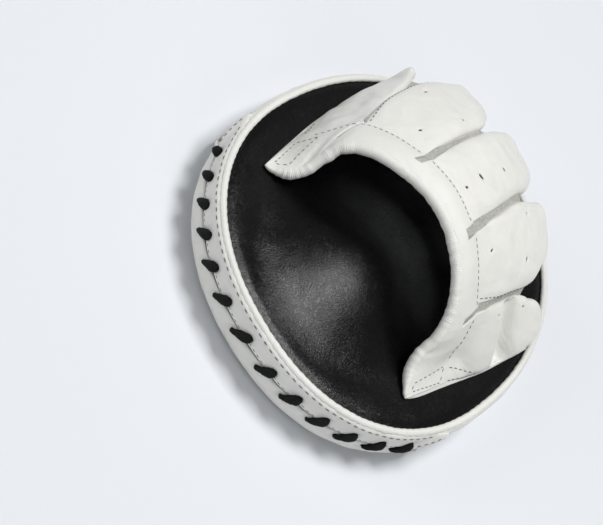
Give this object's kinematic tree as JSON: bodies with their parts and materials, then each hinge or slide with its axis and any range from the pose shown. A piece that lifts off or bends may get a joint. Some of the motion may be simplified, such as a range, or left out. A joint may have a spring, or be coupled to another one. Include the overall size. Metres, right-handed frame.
{
  "type": "focus mitt",
  "caption": "Boxing focus mitt: an egg-shaped leather pad with a laced edge and a leather hand glove with flexing finger stalls on its back.",
  "frame": {"origin": "on the surface that the strike face rests on, under the middle of the overall length and width", "axes": "+Z from the strike face towards the hand glove, +Y towards the fingertips, X across the mitt"},
  "size_m": [0.1884, 0.228, 0.0837],
  "materials": {
    "white_leather": "smooth off-white leather with a soft sheen",
    "black_leather": "pebbled black leather with a soft sheen",
    "grey_suede": "raw grey suede, no sheen",
    "black_lace": "black rawhide lace with a worn nap",
    "black_lining": "matt black textile",
    "foam": "closed-cell foam"
  },
  "bodies": {
    "pad": {"strike_face_panel": "white_leather", "front_lacing_band": "white_leather", "back_lacing_band": "white_leather", "finger_end_wall": "white_leather", "rim_binding": "white_leather", "closure_lace": "black_lace", "strike_foam": "foam", "shock_core": "foam", "back_foam": "foam", "palm_dome_foam": "foam", "back_panel": "black_leather", "cuff_band": "white_leather", "cuff_roll": "white_leather", "glove_lining": "black_lining", "glove_anchor_left": "white_leather", "glove_anchor_right": "white_leather"},
    "side_left_finger": {"stall_side_left": "white_leather"},
    "inner_left_finger": {"stall_inner_left": "white_leather", "slit_gusset_1": "grey_suede"},
    "middle_finger": {"stall_middle": "white_leather", "slit_gusset_2": "grey_suede", "slit_gusset_3": "grey_suede"},
    "inner_right_finger": {"stall_inner_right": "white_leather", "slit_gusset_4": "grey_suede"},
    "side_right_finger": {"stall_side_right": "white_leather"}
  },
  "joints": [
    {"name": "side_left_flex", "type": "hinge", "parent": "pad", "child": "side_left_finger", "pos_m": [-0.067, -0.008, 0.055], "axis": [1, 0, 0], "range_deg": [0, 10], "stiffness_Nm_per_rad": 0.5},
    {"name": "inner_left_flex", "type": "hinge", "parent": "pad", "child": "inner_left_finger", "pos_m": [-0.0435, 0.0048, 0.0787], "axis": [1, 0, 0], "range_deg": [-8, 20], "stiffness_Nm_per_rad": 0.5},
    {"name": "middle_flex", "type": "hinge", "parent": "pad", "child": "middle_finger", "pos_m": [-0.0095, 0.0048, 0.0837], "axis": [1, 0, 0], "range_deg": [-8, 20], "stiffness_Nm_per_rad": 0.5},
    {"name": "inner_right_flex", "type": "hinge", "parent": "pad", "child": "inner_right_finger", "pos_m": [0.027, 0.0048, 0.0767], "axis": [1, 0, 0], "range_deg": [-8, 20], "stiffness_Nm_per_rad": 0.5},
    {"name": "side_right_flex", "type": "hinge", "parent": "pad", "child": "side_right_finger", "pos_m": [0.053, -0.008, 0.05], "axis": [1, 0, 0], "range_deg": [0, 10], "stiffness_Nm_per_rad": 0.5}
  ]
}
